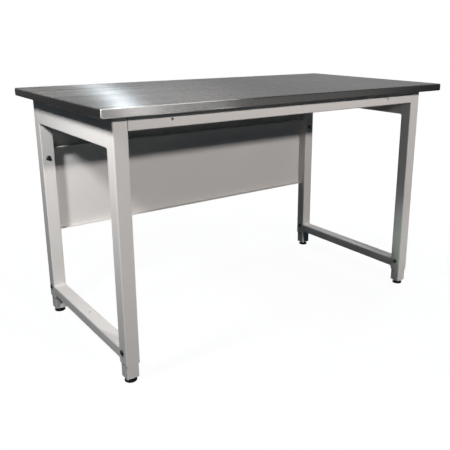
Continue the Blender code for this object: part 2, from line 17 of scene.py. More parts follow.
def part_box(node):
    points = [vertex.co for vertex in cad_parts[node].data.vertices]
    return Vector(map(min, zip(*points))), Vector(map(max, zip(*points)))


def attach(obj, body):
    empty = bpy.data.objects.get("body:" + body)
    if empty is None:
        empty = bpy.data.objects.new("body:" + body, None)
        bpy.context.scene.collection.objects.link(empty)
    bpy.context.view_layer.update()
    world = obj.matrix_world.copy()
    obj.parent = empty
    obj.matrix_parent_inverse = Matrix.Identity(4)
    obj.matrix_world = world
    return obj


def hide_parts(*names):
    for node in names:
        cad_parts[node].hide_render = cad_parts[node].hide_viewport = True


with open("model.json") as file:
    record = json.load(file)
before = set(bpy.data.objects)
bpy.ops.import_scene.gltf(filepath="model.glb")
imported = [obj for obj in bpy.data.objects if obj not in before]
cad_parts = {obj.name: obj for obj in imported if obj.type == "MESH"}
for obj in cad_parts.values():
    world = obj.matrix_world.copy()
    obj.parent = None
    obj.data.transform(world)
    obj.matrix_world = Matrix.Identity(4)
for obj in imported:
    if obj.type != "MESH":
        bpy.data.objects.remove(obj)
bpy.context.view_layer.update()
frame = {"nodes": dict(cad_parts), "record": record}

LEGS = ("front_left", "front_right", "rear_left", "rear_right")
SIDES = ("left", "right")

# %% [markdown]
# ## The camera
# The camera stands where the photographer stood: at the left of the bench, a little above the worktop.
# Its place and lens come from fitting the bench's known corners to the picture. The picture was cropped
# off centre, so the lens axis doesn't meet the middle of it, and a small lens shift says the same thing
# to Blender.

# %% Camera
PICTURE_SIZE = 450                 # pixels, each way
SENSOR_WIDTH = 36.0                # millimetres
FOCAL_LENGTH = 598.5               # pixels
LENS_AXIS = (257.2, 199.6)         # the pixel that the lens axis meets
CAMERA_PLACE = (-1.4248, -1.9548, 1.1224)
CAMERA_TURN = math.radians(37.685)  # to the right of +Y
CAMERA_TILT = math.radians(-15.683)
CAMERA_ROLL = math.radians(0.368)

lens = bpy.data.cameras.new("camera")
lens.sensor_width = SENSOR_WIDTH
lens.lens = FOCAL_LENGTH * SENSOR_WIDTH / PICTURE_SIZE
lens.shift_x = (PICTURE_SIZE / 2 - LENS_AXIS[0]) / PICTURE_SIZE
lens.shift_y = (LENS_AXIS[1] - PICTURE_SIZE / 2) / PICTURE_SIZE
camera = bpy.data.objects.new("camera", lens)
camera.matrix_world = (
    Matrix.Translation(CAMERA_PLACE)
    @ Matrix.Rotation(-CAMERA_TURN, 4, "Z")
    @ Matrix.Rotation(math.pi / 2 + CAMERA_TILT, 4, "X")
    @ Matrix.Rotation(CAMERA_ROLL, 4, "Z")
)
bpy.context.scene.collection.objects.link(camera)
bpy.context.scene.camera = camera
print(f"lens {lens.lens:.1f} mm, shift {lens.shift_x:.3f}, {lens.shift_y:.3f}")

# %% [markdown]
# ## Helpers for pieces and nodes
# A finished piece is a plain mesh whose object sits at the origin, so that patterns on its Object
# coordinates stay put. Modifiers and node trees shape it first, and settling it keeps only the result.
# Weighted normals then keep the flat sides of rounded metal looking flat. The node helper fills sockets
# by name, with a value or with a link, and the helpers built on it find their tree from the sockets that
# they are given.

# %% Pieces
SHARP_ANGLE = math.radians(35)


def new_piece(name, vertices=(), faces=()):
    mesh = bpy.data.meshes.new(name)
    mesh.from_pydata(vertices, [], faces)
    piece = bpy.data.objects.new(name, mesh)
    bpy.context.scene.collection.objects.link(piece)
    return piece


def add_modifier(piece, name, kind, **settings):
    modifier = piece.modifiers.new(name, kind)
    for setting, value in settings.items():
        setattr(modifier, setting, value)
    return modifier


def settle(piece):
    """Turns what a piece's modifiers make into its own plain mesh, and takes the modifiers off."""
    graph = bpy.context.evaluated_depsgraph_get()
    mesh = bpy.data.meshes.new_from_object(piece.evaluated_get(graph), preserve_all_data_layers=True,
                                           depsgraph=graph)
    piece.modifiers.clear()
    piece.data = mesh
    mesh.name = piece.name
    return piece


def shade(piece):
    """Shades a piece smooth, with its true edges sharp and its flat faces flat."""
    piece.data.shade_smooth()
    piece.data.set_sharp_from_angle(angle=SHARP_ANGLE)
    add_modifier(piece, "flat_faces", "WEIGHTED_NORMAL", keep_sharp=True)
    return piece


def middle(node):
    low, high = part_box(node)
    return (low + high) / 2


def size(node):
    low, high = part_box(node)
    return high - low


# %% Nodes
def add_node(tree, kind, inputs=None, **options):
    """Adds a node. Each input gets a link, a list of links, or a plain value."""
    node = tree.nodes.new(kind)
    for option, value in options.items():
        setattr(node, option, value)
    for key, value in (inputs or {}).items():
        if isinstance(value, bpy.types.NodeSocket):
            tree.links.new(value, node.inputs[key])
        elif isinstance(value, list):
            for source in value:
                tree.links.new(source, node.inputs[key])
        else:
            node.inputs[key].default_value = value
    return node


def make(tree, kind, inputs=None, **options):
    """The first output of a new node."""
    return add_node(tree, kind, inputs, **options).outputs[0]


def tree_of(*values):
    """The tree that holds the first socket among some values."""
    return next(value.id_data for value in values if isinstance(value, bpy.types.NodeSocket))


def compute(operation, *values):
    """The result of one Math node."""
    return make(tree_of(*values), "ShaderNodeMath", dict(enumerate(values)), operation=operation)


def point(x=0.0, y=0.0, z=0.0):
    return make(tree_of(x, y, z), "ShaderNodeCombineXYZ", {"X": x, "Y": y, "Z": z})


def mix_colours(factor, first, second):
    node = add_node(tree_of(factor), "ShaderNodeMix", {0: factor, 6: first, 7: second}, data_type="RGBA")
    return node.outputs[2]


# %% [markdown]
# ## Shared effects for the finishes
# Three small shader groups do the work that several finishes share. One gives a fine texture and a broad
# drift, for the orange peel of powder coat, the grain of moulded plastic and the mottle of zinc. One
# draws brush lines that run along V of a map, for the steel. One marks the edges that are painted lighter,
# from an attribute that the tube tree writes: partly worn paint, partly a painted highlight along them.

# %% Shader groups
CHIP_DETAIL = 5.0


def start_group(name, results, **sockets):
    """A shader group whose inputs take a plain value each, or a vector where that value is None."""
    group = bpy.data.node_groups.new(name, "ShaderNodeTree")
    for label, value in sockets.items():
        kind = "NodeSocketVector" if value is None else "NodeSocketFloat"
        socket = group.interface.new_socket(name=label.replace("_", " "), in_out="INPUT", socket_type=kind)
        if value is not None:
            socket.default_value = value
    for label in results:
        group.interface.new_socket(name=label, in_out="OUTPUT", socket_type="NodeSocketFloat")
    return group, group.nodes.new("NodeGroupInput").outputs, group.nodes.new("NodeGroupOutput").inputs


def noise(vector, scale, detail):
    inputs = {"Vector": vector, "Scale": scale, "Detail": detail}
    return make(tree_of(vector), "ShaderNodeTexNoise", inputs)


fine_texture, given, result = start_group("fine_texture", ["Grain", "Drift"], Vector=None,
                                          Grains_per_Metre=900.0, Drifts_per_Metre=6.0)
for label, detail in (("Grain", 2.0), ("Drift", 4.0)):
    fine_texture.links.new(noise(given["Vector"], given[f"{label}s per Metre"], detail), result[label])

brush_lines, given, result = start_group("brush_lines", ["Lines", "Bands"], Map=None, Lines_per_Metre=1500.0,
                                         Bands_per_Metre=22.0, Breaks_per_Metre=0.5)
for label, detail in (("Lines", 1.0), ("Bands", 1.5)):
    stretch = point(given[f"{label} per Metre"], given["Breaks per Metre"], 1.0)
    stretched = make(brush_lines, "ShaderNodeVectorMath", {0: given["Map"], 1: stretch}, operation="MULTIPLY")
    brush_lines.links.new(noise(stretched, 1.0, detail), result[label])

# Lighter edges: partly worn paint, partly a painted highlight where the edges catch the light.
edge_wear_and_highlight, given, result = start_group("edge_wear_and_highlight", ["Mask"], Vector=None, Edge=0.0, Chips_per_Metre=160.0,
                                      Amount=0.5)
chipped = noise(given["Vector"], given["Chips per Metre"], CHIP_DETAIL)
near_edge = compute("MULTIPLY", given["Edge"], chipped)
reach = compute("MULTIPLY", near_edge, given["Amount"])
edge_wear_and_highlight.links.new(compute("MINIMUM", reach, 1.0), result["Mask"])
print("groups:", [group.name for group in (fine_texture, brush_lines, edge_wear_and_highlight)])

# %% [markdown]
# ## Finishes
# The frame is powder coated steel in a light warm grey: satin, with a very fine orange peel. The worktop
# is stainless steel with a long brushed grain. Steel brushed one way spreads a reflection across the
# grain, and the shader's anisotropy does the same when its tangent runs across the brush lines. Bolts are
# black oxide or zinc, and the feet are black moulded plastic. Numbers that are the same all over are set
# on the shader itself.

# %% Finish helpers
GRAIN_STRENGTH = 0.5
FINISHES = {}


def start_finish(slot, name, **settings):
    """A material with its shader, its Object coordinates and plain settings on the shader's own sockets."""
    material = bpy.data.materials.new(name)
    material.use_nodes = True
    tree = material.node_tree
    shader = tree.nodes["Principled BSDF"]
    for label, value in settings.items():
        shader.inputs[label.replace("_", " ").title().replace("Ior", "IOR")].default_value = value
    place = add_node(tree, "ShaderNodeTexCoord").outputs["Object"]
    FINISHES[slot] = material
    return tree, shader, place


def coat(piece, slot):
    piece.data.materials.clear()
    piece.data.materials.append(FINISHES[slot])


def fit_piece(piece, body, slot, nodes=()):
    """Coats a piece, lets it ride on a body, and hides the solids that it stands for."""
    coat(piece, slot)
    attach(piece, body)
    if nodes:
        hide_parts(*nodes)
    print(f"{piece.name}: {len(piece.data.polygons)} faces on {body}")


def use_group(tree, group, **values):
    inputs = {label.replace("_", " "): value for label, value in values.items()}
    return add_node(tree, "ShaderNodeGroup", inputs, node_tree=group).outputs


def bump(shader, height, strength, depth):
    tree = tree_of(height)
    inputs = {"Height": height, "Strength": strength, "Distance": depth}
    tree.links.new(make(tree, "ShaderNodeBump", inputs), shader.inputs["Normal"])


def drifting_finish(slot, name, dark, light, rough, grains, depth, **settings):
    """A finish with a slow drift between two colours, a drift in roughness, and a fine bumpy grain."""
    tree, shader, place = start_finish(slot, name, **settings)
    texture = use_group(tree, fine_texture, Vector=place, Grains_per_Metre=grains)
    colour = mix_colours(texture["Drift"], (*dark, 1), (*light, 1))
    tree.links.new(colour, shader.inputs["Base Color"])
    roughness = {"Value": texture["Drift"], "To Min": rough[0], "To Max": rough[1]}
    tree.links.new(make(tree, "ShaderNodeMapRange", roughness), shader.inputs["Roughness"])
    bump(shader, texture["Grain"], GRAIN_STRENGTH, depth)
    return tree, shader, place, colour


# %% Grey powder coat
# The lighter colour on the edges stands for worn paint and for a painted highlight along them.
WORN_AND_LIT_EDGE_PAINT = (0.80, 0.79, 0.77, 1)

paint, shader, place, paint_colour = drifting_finish(
    "grey_paint", "grey_powder_coat", dark=(0.655, 0.640, 0.620), light=(0.690, 0.675, 0.655),
    rough=(0.34, 0.44), grains=1100.0, depth=0.00012, specular_ior_level=0.25)
edge = add_node(paint, "ShaderNodeAttribute", attribute_name="edge").outputs["Fac"]
worn_and_lit_edge = use_group(paint, edge_wear_and_highlight, Vector=place, Edge=edge, Amount=0.5)["Mask"]
paint.links.new(mix_colours(worn_and_lit_edge, paint_colour, WORN_AND_LIT_EDGE_PAINT), shader.inputs["Base Color"])
print("paint:", len(paint.nodes), "nodes")

# %% Brushed stainless steel
DULL_STEEL = (0.43, 0.42, 0.41, 1)
BRIGHT_STEEL = (0.63, 0.615, 0.60, 1)
BAND_TONE, SMEAR_TONE = 0.7, 0.3
STEEL_ROUGHNESS, BAND_ROUGHNESS, SMEAR_ROUGHNESS = 0.21, 0.07, 0.05
LINE_STRENGTH, LINE_DEPTH = 0.06, 0.00003

steel, shader, place = start_finish("stainless", "brushed_stainless", metallic=1.0, anisotropic=1.0,
                                    specular_tint=(0.70, 0.70, 0.72, 1))
brushed = use_group(steel, brush_lines, Map=make(steel, "ShaderNodeUVMap", uv_map="grain"))
smears = use_group(steel, fine_texture, Vector=place, Grains_per_Metre=30.0, Drifts_per_Metre=4.0)
tone = compute("MULTIPLY_ADD", brushed["Bands"], BAND_TONE, compute("MULTIPLY", smears["Drift"], SMEAR_TONE))
steel.links.new(mix_colours(tone, DULL_STEEL, BRIGHT_STEEL), shader.inputs["Base Color"])
smeared = compute("MULTIPLY_ADD", smears["Drift"], SMEAR_ROUGHNESS, STEEL_ROUGHNESS)
roughness = compute("MULTIPLY_ADD", brushed["Bands"], BAND_ROUGHNESS, smeared)
steel.links.new(roughness, shader.inputs["Roughness"])
bump(shader, brushed["Lines"], LINE_STRENGTH, LINE_DEPTH)
tangent = make(steel, "ShaderNodeTangent", direction_type="UV_MAP", uv_map="grain")
steel.links.new(tangent, shader.inputs["Tangent"])
print("steel:", len(steel.nodes), "nodes")

# %% Bolts, plates, feet and board
LIGHT_CHIPS = (0.66, 0.52, 0.36, 1)
CHIPS_PER_METRE = 300.0

drifting_finish("black_steel", "black_oxide_steel", dark=(0.006, 0.006, 0.007), light=(0.012, 0.012, 0.013),
                rough=(0.24, 0.34), grains=1500.0, depth=0.00006)
drifting_finish("zinc", "zinc_plated_steel", dark=(0.50, 0.50, 0.48), light=(0.66, 0.66, 0.65),
                rough=(0.26, 0.40), grains=700.0, depth=0.00004, metallic=1.0)
drifting_finish("black_plastic", "black_moulded_plastic", dark=(0.006, 0.006, 0.006),
                light=(0.011, 0.011, 0.012), rough=(0.22, 0.32), grains=1800.0, depth=0.00006)
drifting_finish("backer", "backer_laminate", dark=(0.060, 0.054, 0.048), light=(0.085, 0.076, 0.068),
                rough=(0.55, 0.70), grains=500.0, depth=0.00010)
chips, shader, place, board_colour = drifting_finish(
    "board", "particle_board", dark=(0.42, 0.30, 0.19), light=(0.56, 0.42, 0.28), rough=(0.75, 0.90),
    grains=350.0, depth=0.00040)
flakes = make(chips, "ShaderNodeTexVoronoi", {"Vector": place, "Scale": CHIPS_PER_METRE})
chips.links.new(mix_colours(flakes, board_colour, LIGHT_CHIPS), shader.inputs["Base Color"])
print("finishes:", sorted(FINISHES))

# %% [markdown]
# ## Square tube
# The end frames, the front rail and the telescopic leg inserts are all welded steel tube with rounded
# corners. That is one rule with different sizes, so one Geometry Nodes tree draws the section, fills it,
# pulls it to length, drills an optional row of holes, and turns it into place. It also stores how near
# each point is to a corner, for the paint.

# %% Tree helpers
def start_tree(name, **kinds):
    """A Geometry Nodes tree with inputs listed by kind. Gives it, its inputs, and their identifiers."""
    tree = bpy.data.node_groups.new(name, "GeometryNodeTree")
    keys = {}
    for kind, labels in kinds.items():
        for label in labels.split(", "):
            socket = tree.interface.new_socket(name=label, in_out="INPUT", socket_type="NodeSocket" + kind)
            keys[label] = socket.identifier
    tree.interface.new_socket(name="Geometry", in_out="OUTPUT", socket_type="NodeSocketGeometry")
    return tree, tree.nodes.new("NodeGroupInput").outputs, keys


def shaped(kind, **settings):
    """The first output of a new geometry node. Settings with a capital are inputs, and others are options."""
    inputs = {label.replace("_", " "): value for label, value in settings.items() if label[0].isupper()}
    options = {label: value for label, value in settings.items() if label[0].islower()}
    sources = []
    for value in inputs.values():
        sources += value if isinstance(value, list) else [value]
    return make(tree_of(*sources), "GeometryNode" + kind, inputs, **options)


def end_tree(geometry, material):
    real = shaped("RealizeInstances", Geometry=geometry)
    painted = shaped("SetMaterial", Geometry=real, Material=material)
    add_node(tree_of(geometry), "NodeGroupOutput", {"Geometry": painted})


def grow(piece, tree, keys, slot, sizes):
    """Runs a tree on a piece with the given finish and sizes, and keeps the plain mesh that it makes."""
    modifier = add_modifier(piece, tree.name, "NODES", node_group=tree)
    for label, value in sizes.items():
        modifier[keys[label]] = value
    modifier[keys["Material"]] = FINISHES[slot]
    return shade(settle(piece))


def moved(geometry, translation=(0, 0, 0), rotation=(0, 0, 0), scale=(1, 1, 1)):
    return shaped("Transform", Geometry=geometry, Translation=translation, Rotation=rotation, Scale=scale)


def join(*parts):
    return shaped("JoinGeometry", Geometry=list(parts))


def combine(operation, *solids):
    """The union or the overlap of some solids."""
    return shaped("MeshBoolean", Mesh_2=list(solids), operation=operation, solver="EXACT")


def cut(solid, cutter):
    return shaped("MeshBoolean", Mesh_1=solid, Mesh_2=cutter, operation="DIFFERENCE", solver="EXACT")


def times(value, factor):
    return compute("MULTIPLY", value, factor)


def cylinder(sides, radius, depth):
    return shaped("MeshCylinder", Vertices=sides, Radius=radius, Depth=depth)


def cone(sides, bottom, top, depth):
    return shaped("MeshCone", Vertices=sides, Radius_Bottom=bottom, Radius_Top=top, Depth=depth)


def spot_in(tree):
    """X, Y and Z of each point of the geometry."""
    return add_node(tree, "ShaderNodeSeparateXYZ", {0: make(tree, "GeometryNodeInputPosition")}).outputs


# %% Square tube tree
CORNER_STEPS = 6
HOLE_SIDES = 20
DRILL_DEPTH = 4.0                  # in thicknesses of the wall
MERGE_DISTANCE = 0.00001


def rounded_rectangle(width, height, radius):
    rectangle = shaped("CurvePrimitiveQuadrilateral", Width=width, Height=height)
    return shaped("FilletCurve", Curve=rectangle, Radius=radius, Count=CORNER_STEPS, mode="POLY")


tube_tree, given, tube_keys = start_tree(
    "square_tube", Float="Width, Height, Length, Wall, Corner Radius, Hole Diameter", Int="Hole Count",
    Vector="Place, Turn, First Hole, Hole Step, Hole Turn", Material="Material")
outer = rounded_rectangle(given["Width"], given["Height"], given["Corner Radius"])
twice = times(given["Wall"], 2.0)
inner = rounded_rectangle(
    compute("SUBTRACT", given["Width"], twice), compute("SUBTRACT", given["Height"], twice),
    compute("SUBTRACT", given["Corner Radius"], given["Wall"]))
section = shaped("FillCurve", Curve=join(outer, inner))
pulled = shaped("ExtrudeMesh", Mesh=section, Offset=point(z=given["Length"]), Offset_Scale=1.0,
                Individual=False)
start_cap = shaped("FlipFaces", Mesh=section)
solid = shaped("MergeByDistance", Geometry=join(pulled, start_cap), Distance=MERGE_DISTANCE)

row = shaped("MeshLine", Count=given["Hole Count"], Start_Location=given["First Hole"],
             Offset=given["Hole Step"])
drill = cylinder(HOLE_SIDES, times(given["Hole Diameter"], 0.5), times(given["Wall"], DRILL_DEPTH))
drills = shaped("InstanceOnPoints", Points=row, Instance=moved(drill, rotation=given["Hole Turn"]))
drilled = cut(solid, shaped("RealizeInstances", Geometry=drills))
has_holes = make(tube_tree, "FunctionNodeCompare", {2: given["Hole Count"], 3: 0}, data_type="INT",
                 operation="GREATER_THAN")
chosen = shaped("Switch", Switch=has_holes, input_type="GEOMETRY", **{"False": solid, "True": drilled})

spot = spot_in(tube_tree)
from_sides = [compute("SUBTRACT", times(given[label], 0.5), compute("ABSOLUTE", spot[axis]))
              for axis, label in (("X", "Width"), ("Y", "Height"))]
from_corner = compute("DIVIDE", compute("MAXIMUM", *from_sides), given["Corner Radius"])
corner = make(tube_tree, "ShaderNodeClamp", {0: compute("SUBTRACT", 1.0, from_corner)})
marked = shaped("StoreNamedAttribute", Geometry=chosen, Name="edge", Value=corner, data_type="FLOAT",
                domain="POINT")
end_tree(moved(marked, given["Place"], given["Turn"]), given["Material"])
print("square_tube:", len(tube_tree.nodes), "nodes")

# %% Posts, side tubes, rail and leg inserts
TUBE_CORNER = 0.0045
INSERT_CORNER = 0.0035
POST_WALL = 0.0025
SIDE_WALL = 0.002
RAIL_HOLE_INSET = 0.150
RAIL_HOLE = 0.008
LOWER_TUBE_HOLE = 0.008
INSERT_HOLE = 0.0085
INSERT_HOLE_PITCH = 0.0254
INSERT_HOLE_MARGIN = 0.020
QUARTER = math.pi / 2
UPRIGHT = (0.0, 0.0, 0.0)
FRONT_TO_BACK = (-QUARTER, 0.0, 0.0)
LEFT_TO_RIGHT = (0.0, QUARTER, 0.0)
ACROSS_HEIGHT = (QUARTER, 0.0, 0.0)  # how a drill turns to enter a tube's sides
ACROSS_WIDTH = (0.0, QUARTER, 0.0)
# The axes along which a turned tube has its width, height and length
TUBE_AXES = {UPRIGHT: (0, 1, 2), FRONT_TO_BACK: (0, 2, 1), LEFT_TO_RIGHT: (2, 1, 0)}
NO_HOLES = {"Hole Count": 0}


def cut_tube(node, body, turn, wall, corner_radius, holes=NO_HOLES):
    """Makes a tube again in place of its solid, along the axis that the turn gives."""
    width, height, length = (size(node)[axis] for axis in TUBE_AXES[turn])
    place = middle(node)
    place[TUBE_AXES[turn][2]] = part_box(node)[0][TUBE_AXES[turn][2]]
    sizes = {"Width": width, "Height": height, "Length": length, "Wall": wall, "Corner Radius": corner_radius,
             "Place": tuple(place), "Turn": turn}
    piece = grow(new_piece(node + "_tube"), tube_tree, tube_keys, "grey_paint", {**sizes, **holes})
    fit_piece(piece, body, "grey_paint", [node])


def hole_row(count, first, pitch, turn, diameter):
    return {"Hole Count": count, "First Hole": first, "Hole Step": (0.0, 0.0, pitch), "Hole Turn": turn,
            "Hole Diameter": diameter}


def insert_holes(leg):
    """The row of height holes, a whole number of pitches from the lock bolt."""
    insert = size(f"leg_insert_{leg}")
    bolt = middle(f"lock_bolt_{leg}").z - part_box(f"leg_insert_{leg}")[0].z
    below = math.floor((bolt - INSERT_HOLE_MARGIN) / INSERT_HOLE_PITCH)
    above = math.floor((insert.z - INSERT_HOLE_MARGIN - bolt) / INSERT_HOLE_PITCH)
    first = (-insert.x / 2, 0.0, bolt - below * INSERT_HOLE_PITCH)
    return hole_row(below + above + 1, first, INSERT_HOLE_PITCH, ACROSS_WIDTH, INSERT_HOLE)


for leg in LEGS:
    cut_tube(f"post_{leg}", "frame", UPRIGHT, POST_WALL, TUBE_CORNER)
    cut_tube(f"leg_insert_{leg}", f"insert_{leg}", UPRIGHT, POST_WALL, INSERT_CORNER, insert_holes(leg))
for side in SIDES:
    cut_tube(f"upper_side_tube_{side}", "frame", FRONT_TO_BACK, SIDE_WALL, TUBE_CORNER)
    lower = size(f"lower_side_tube_{side}")
    hole = hole_row(1, (0.0, -lower.z / 2, lower.y / 2), 0.0, ACROSS_HEIGHT, LOWER_TUBE_HOLE)
    cut_tube(f"lower_side_tube_{side}", "frame", FRONT_TO_BACK, SIDE_WALL, TUBE_CORNER, hole)
rail = size("front_rail")
holes = hole_row(2, (0.0, -rail.y / 2, RAIL_HOLE_INSET), rail.x - 2 * RAIL_HOLE_INSET, ACROSS_HEIGHT,
                 RAIL_HOLE)
cut_tube("front_rail", "frame", LEFT_TO_RIGHT, SIDE_WALL, TUBE_CORNER, holes)

# %% [markdown]
# ## Weld beads
# Each side tube is welded all round to its two posts. Under and over the tube the bead is a fillet in the
# corner. On the sides, where tube and post are flush, it is dressed down to a low ridge. A bead follows a
# path, so a tree sweeps a round section along a rounded rectangle whose long sides lie inside the metal,
# and a sine wave gives its ripples.

# %% Weld bead tree
BEAD_STEP = 0.001
BEAD_SIDES = 12

bead_tree, given, bead_keys = start_tree(
    "weld_bead", Geometry="Joints", Float="Width, Height, Corner Radius, Bead Radius, Ripple, Ripple Pitch",
    Material="Material")
loop = rounded_rectangle(given["Width"], given["Height"], given["Corner Radius"])
path = shaped("ResampleCurve", Curve=loop, Length=BEAD_STEP, mode="LENGTH")
along = add_node(bead_tree, "GeometryNodeSplineParameter").outputs["Length"]
turns = compute("DIVIDE", along, given["Ripple Pitch"])
swell = compute("MULTIPLY_ADD", compute("SINE", times(turns, 2 * math.pi)), given["Ripple"], 1.0)
ring = shaped("CurvePrimitiveCircle", Resolution=BEAD_SIDES, Radius=given["Bead Radius"])
bead = shaped("CurveToMesh", Curve=path, Profile_Curve=ring, Scale=swell)
beads = shaped("InstanceOnPoints", Points=given["Joints"], Instance=moved(bead, rotation=(QUARTER, 0, 0)))
end_tree(beads, given["Material"])
print("weld_bead:", len(bead_tree.nodes), "nodes")

# %% Weld the end frames
BEAD_RADIUS = 0.0055
BEAD_RISE = 0.0005                 # above the flush sides
RIPPLE = 0.03                      # as a share of the radius
RIPPLE_PITCH = 0.005


def weld_tubes(level, top_room):
    """Beads at both ends of the left and right side tubes. The top room keeps them below the worktop."""
    spots = []
    for side in SIDES:
        tube = f"{level}_side_tube_{side}"
        centre, spread = middle(tube), size(tube)
        for face in (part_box(f"post_front_{side}")[1].y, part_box(f"post_rear_{side}")[0].y):
            spots.append((centre.x, face, centre.z - top_room / 2))
    piece = grow(new_piece(f"weld_beads_{level}", spots), bead_tree, bead_keys, "grey_paint", {
        "Width": spread.x - 2 * (BEAD_RADIUS - BEAD_RISE), "Height": spread.z - top_room,
        "Corner Radius": TUBE_CORNER, "Bead Radius": BEAD_RADIUS, "Ripple": RIPPLE,
        "Ripple Pitch": RIPPLE_PITCH})
    fit_piece(piece, "frame", "grey_paint")


weld_tubes("upper", BEAD_RADIUS)
weld_tubes("lower", 0.0)

# %% [markdown]
# ## Folded sheet
# The rear stringer, the modesty panel, the rail brackets and the cleats are flat sheet with flanges
# folded up on a press brake. A fold isn't a sharp corner: the sheet turns through a small arc, and
# neighbouring flanges don't quite meet. So each is drawn as its flat face, plus an arc and a flange along
# each folded edge, and Solidify gives the wall.

# %% Fold helper
FOLD_STEPS = 6
SHEET_EDGE = 0.0003                # how much the cut edges are broken


def add_wall(piece, thickness):
    add_modifier(piece, "wall", "SOLIDIFY", thickness=thickness, offset=-1.0, use_even_offset=True)


def add_flange(shape, first, second, out, facing, depth, radius):
    """An arc and a flat strip along one edge of a sheet."""
    angles = [QUARTER * step / FOLD_STEPS for step in range(1, FOLD_STEPS + 1)]
    shifts = [out * radius * math.sin(a) + facing * radius * (1 - math.cos(a)) for a in angles]
    last = (first, second)
    for shift in shifts + [out * radius + facing * depth]:
        following = tuple(shape.verts.new(corner.co + shift) for corner in (first, second))
        shape.faces.new((last[0], last[1], following[1], following[0]))
        last = following


def fold_sheet(node, outline, facing, folded_edges, depth, thickness, radius):
    """A flat outline. Its folded edges, by number, carry flanges of one depth, turned the way it faces."""
    facing = Vector(facing)
    shape = bmesh.new()
    corners = [shape.verts.new(corner) for corner in outline]
    shape.faces.new(corners)
    centre = sum((corner.co for corner in corners), Vector()) / len(corners)
    for number in folded_edges:
        first, second = corners[number], corners[(number + 1) % len(corners)]
        out = (second.co - first.co).cross(facing).normalized()
        if out.dot(first.co - centre) < 0:
            out.negate()
        add_flange(shape, first, second, out, facing, depth, radius)
    bmesh.ops.recalc_face_normals(shape, faces=shape.faces)
    shape.faces.ensure_lookup_table()
    if shape.faces[0].normal.dot(facing) > 0:
        bmesh.ops.reverse_faces(shape, faces=shape.faces)
    piece = new_piece(node + "_sheet")
    shape.to_mesh(piece.data)
    shape.free()
    add_wall(piece, thickness)
    add_modifier(piece, "broken_edges", "BEVEL", width=SHEET_EDGE, segments=2, limit_method="ANGLE")
    fit_piece(shade(settle(piece)), "frame", "grey_paint", [node])


# %% Rear stringer and modesty panel
STRINGER_SHEET = 0.002
PANEL_SHEET = 0.0012
FOLD_RADIUS = 0.0035               # outside of the folds
CORNER_RELIEF = 0.001              # left open between neighbouring flanges
FORWARD = (0, -1, 0)

low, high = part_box("rear_stringer")
left, right = low.x + FOLD_RADIUS, high.x - FOLD_RADIUS
bottom, top = low.z + FOLD_RADIUS, high.z - FOLD_RADIUS
relief = STRINGER_SHEET + CORNER_RELIEF
outline = [(left + relief, bottom), (right - relief, bottom), (right, bottom + relief), (right, top - relief),
           (right - relief, top), (left + relief, top), (left, top - relief), (left, bottom + relief)]
fold_sheet("rear_stringer", [(x, high.y, z) for x, z in outline], FORWARD, (0, 2, 4, 6), high.y - low.y,
           STRINGER_SHEET, FOLD_RADIUS)

low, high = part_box("modesty_panel")
flange_left, flange_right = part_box("post_rear_left")[1].x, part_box("post_rear_right")[0].x
bottom = low.z + FOLD_RADIUS
outline = [(low.x, bottom), (flange_left, bottom), (flange_right, bottom), (high.x, bottom), (high.x, high.z),
           (low.x, high.z)]
fold_sheet("modesty_panel", [(x, high.y, z) for x, z in outline], FORWARD, (1,), high.y - low.y, PANEL_SHEET,
           FOLD_RADIUS)

# %% Rail brackets and cleats
ANGLE_SHEET = 0.003
ANGLE_FOLD = 0.0045


def fold_ends(low, high, sign):
    """Where an angle's flat leg starts, after its fold, and where it ends. The fold is at the outer end."""
    fold_x, far_x = (low.x, high.x) if sign < 0 else (high.x, low.x)
    return fold_x - sign * ANGLE_FOLD, far_x


for side, sign in zip(SIDES, (-1, 1)):
    low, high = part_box(f"rail_bracket_{side}")
    near_x, far_x = fold_ends(low, high, sign)
    fold_sheet(f"rail_bracket_{side}", [
        (near_x, low.y, low.z), (near_x, low.y, high.z), (far_x, low.y, high.z), (far_x, low.y, low.z),
    ], (0, 1, 0), (0,), high.y - low.y, ANGLE_SHEET, ANGLE_FOLD)
    for end in ("front", "rear"):
        low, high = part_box(f"top_cleat_{end}_{side}")
        near_x, far_x = fold_ends(low, high, sign)
        fold_sheet(f"top_cleat_{end}_{side}", [
            (near_x, low.y, high.z), (near_x, high.y, high.z), (far_x, high.y, high.z),
            (far_x, low.y, high.z),
        ], (0, 0, -1), (0,), high.z - low.z, ANGLE_SHEET, ANGLE_FOLD)

# %% [markdown]
# ## The stainless worktop
# The worktop's skin is one sheet of steel, folded down over a board on all sides and hemmed under it. A
# box without the middle of its underside is that sheet's outside. Bevel rounds the folds, Solidify gives
# the thickness, and four thin slits are the mitres where the hems meet. A map called grain then tells the
# finish which way the brush ran. The board inside has its edges eased to suit the folds, and a pilot hole
# for each screw.

# %% Worktop skin
SKIN_SHEET = 0.0012
SKIN_HEM = 0.022
SKIN_FOLD = 0.005
SKIN_FOLD_STEPS = 8
MITRE_GAP = 0.0008
MITRE_START = 0.004                # from the corner, where the weld is ground smooth
MITRE_DEPTH = 1.5                  # in thicknesses of the sheet
BOX_FACES = [(3, 2, 1, 0), (4, 5, 6, 7), (0, 1, 5, 4), (1, 2, 6, 5), (2, 3, 7, 6), (3, 0, 4, 7)]


def ring_corners(low, high, inset, z):
    return [(low.x + inset, low.y + inset, z), (high.x - inset, low.y + inset, z),
            (high.x - inset, high.y - inset, z), (low.x + inset, high.y - inset, z)]


